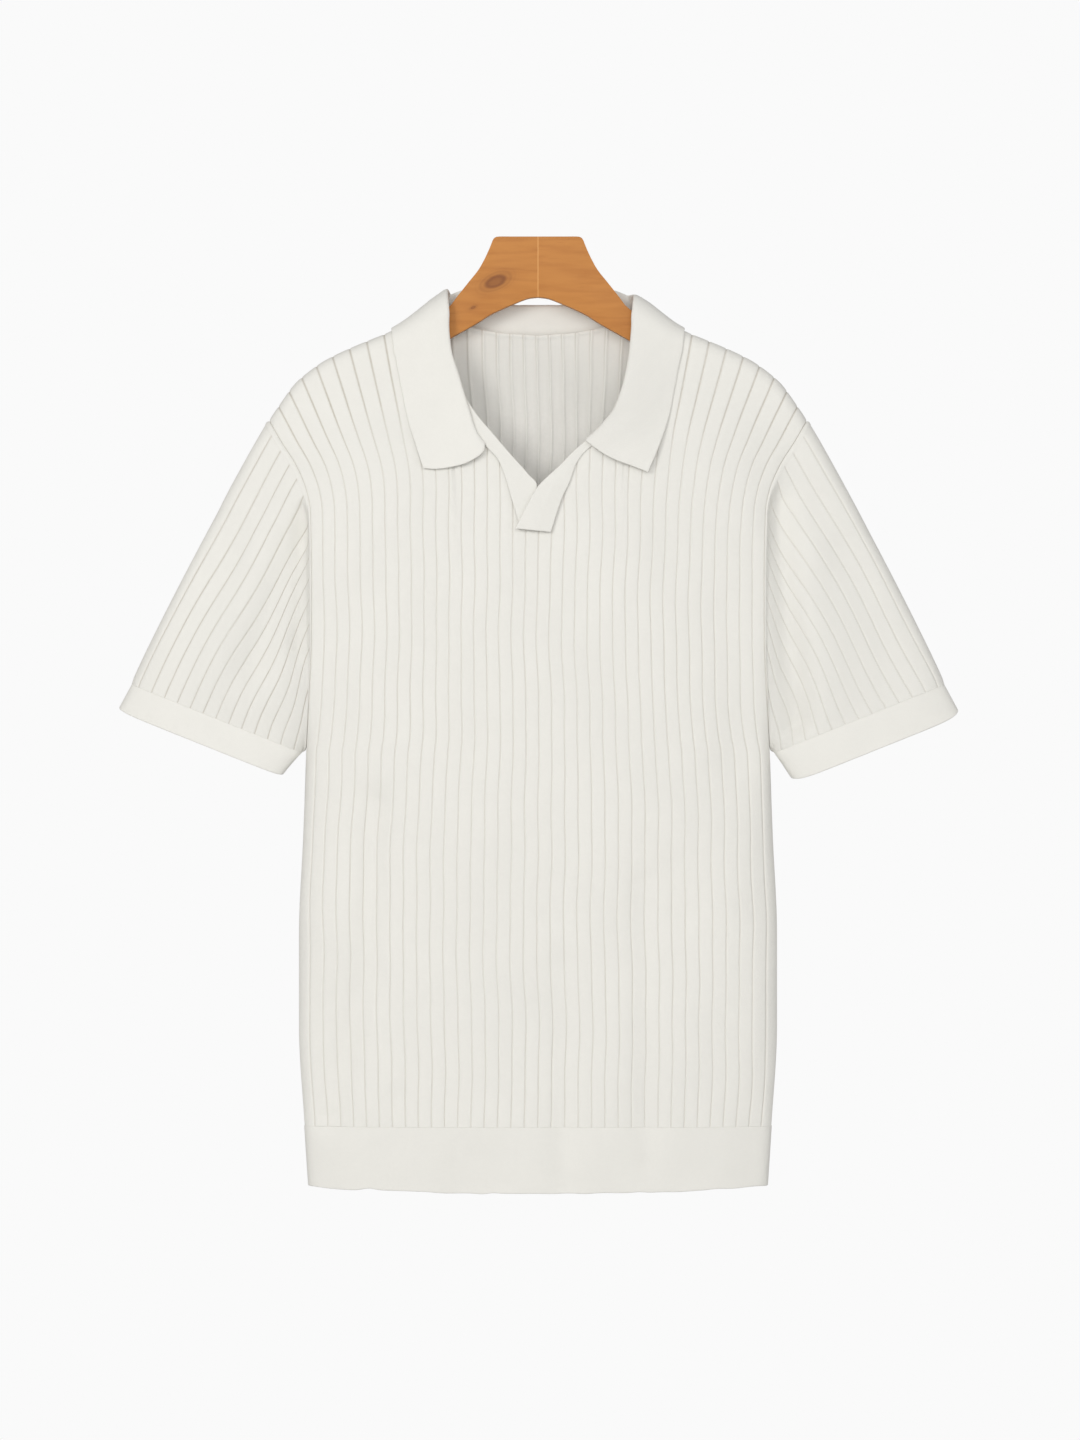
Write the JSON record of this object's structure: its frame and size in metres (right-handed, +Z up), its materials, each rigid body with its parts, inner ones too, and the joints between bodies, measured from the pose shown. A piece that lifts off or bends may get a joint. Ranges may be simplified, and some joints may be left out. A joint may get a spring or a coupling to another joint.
{
  "type": "polo shirt on a hanger",
  "caption": "Short-sleeved ribbed knit polo shirt with an open collar and a buttonless neck opening, hanging on a plain wooden hanger.",
  "frame": {"origin": "middle of the flat top of the hanger, where the hanger is held", "axes": "+Z up; the shirt's front faces -Y; +X towards the viewer's right, which is the wearer's left"},
  "size_m": [0.669, 0.0651, 0.767],
  "materials": {
    "rib_knit": "off-white wide-rib knit, matt",
    "plain_knit": "off-white fine plain knit, matt",
    "hanger_wood": "honey-brown wood, satin varnish"
  },
  "bodies": {
    "root": {"front_panel": "rib_knit", "back_panel": "rib_knit", "sleeve_left": "rib_knit", "sleeve_right": "rib_knit", "cuff_left": "plain_knit", "cuff_right": "plain_knit", "hem_band": "plain_knit", "collar": "plain_knit", "placket_under": "plain_knit", "placket_over": "plain_knit", "hanger_half_left": "hanger_wood", "hanger_half_right": "hanger_wood"}
  },
  "joints": []
}
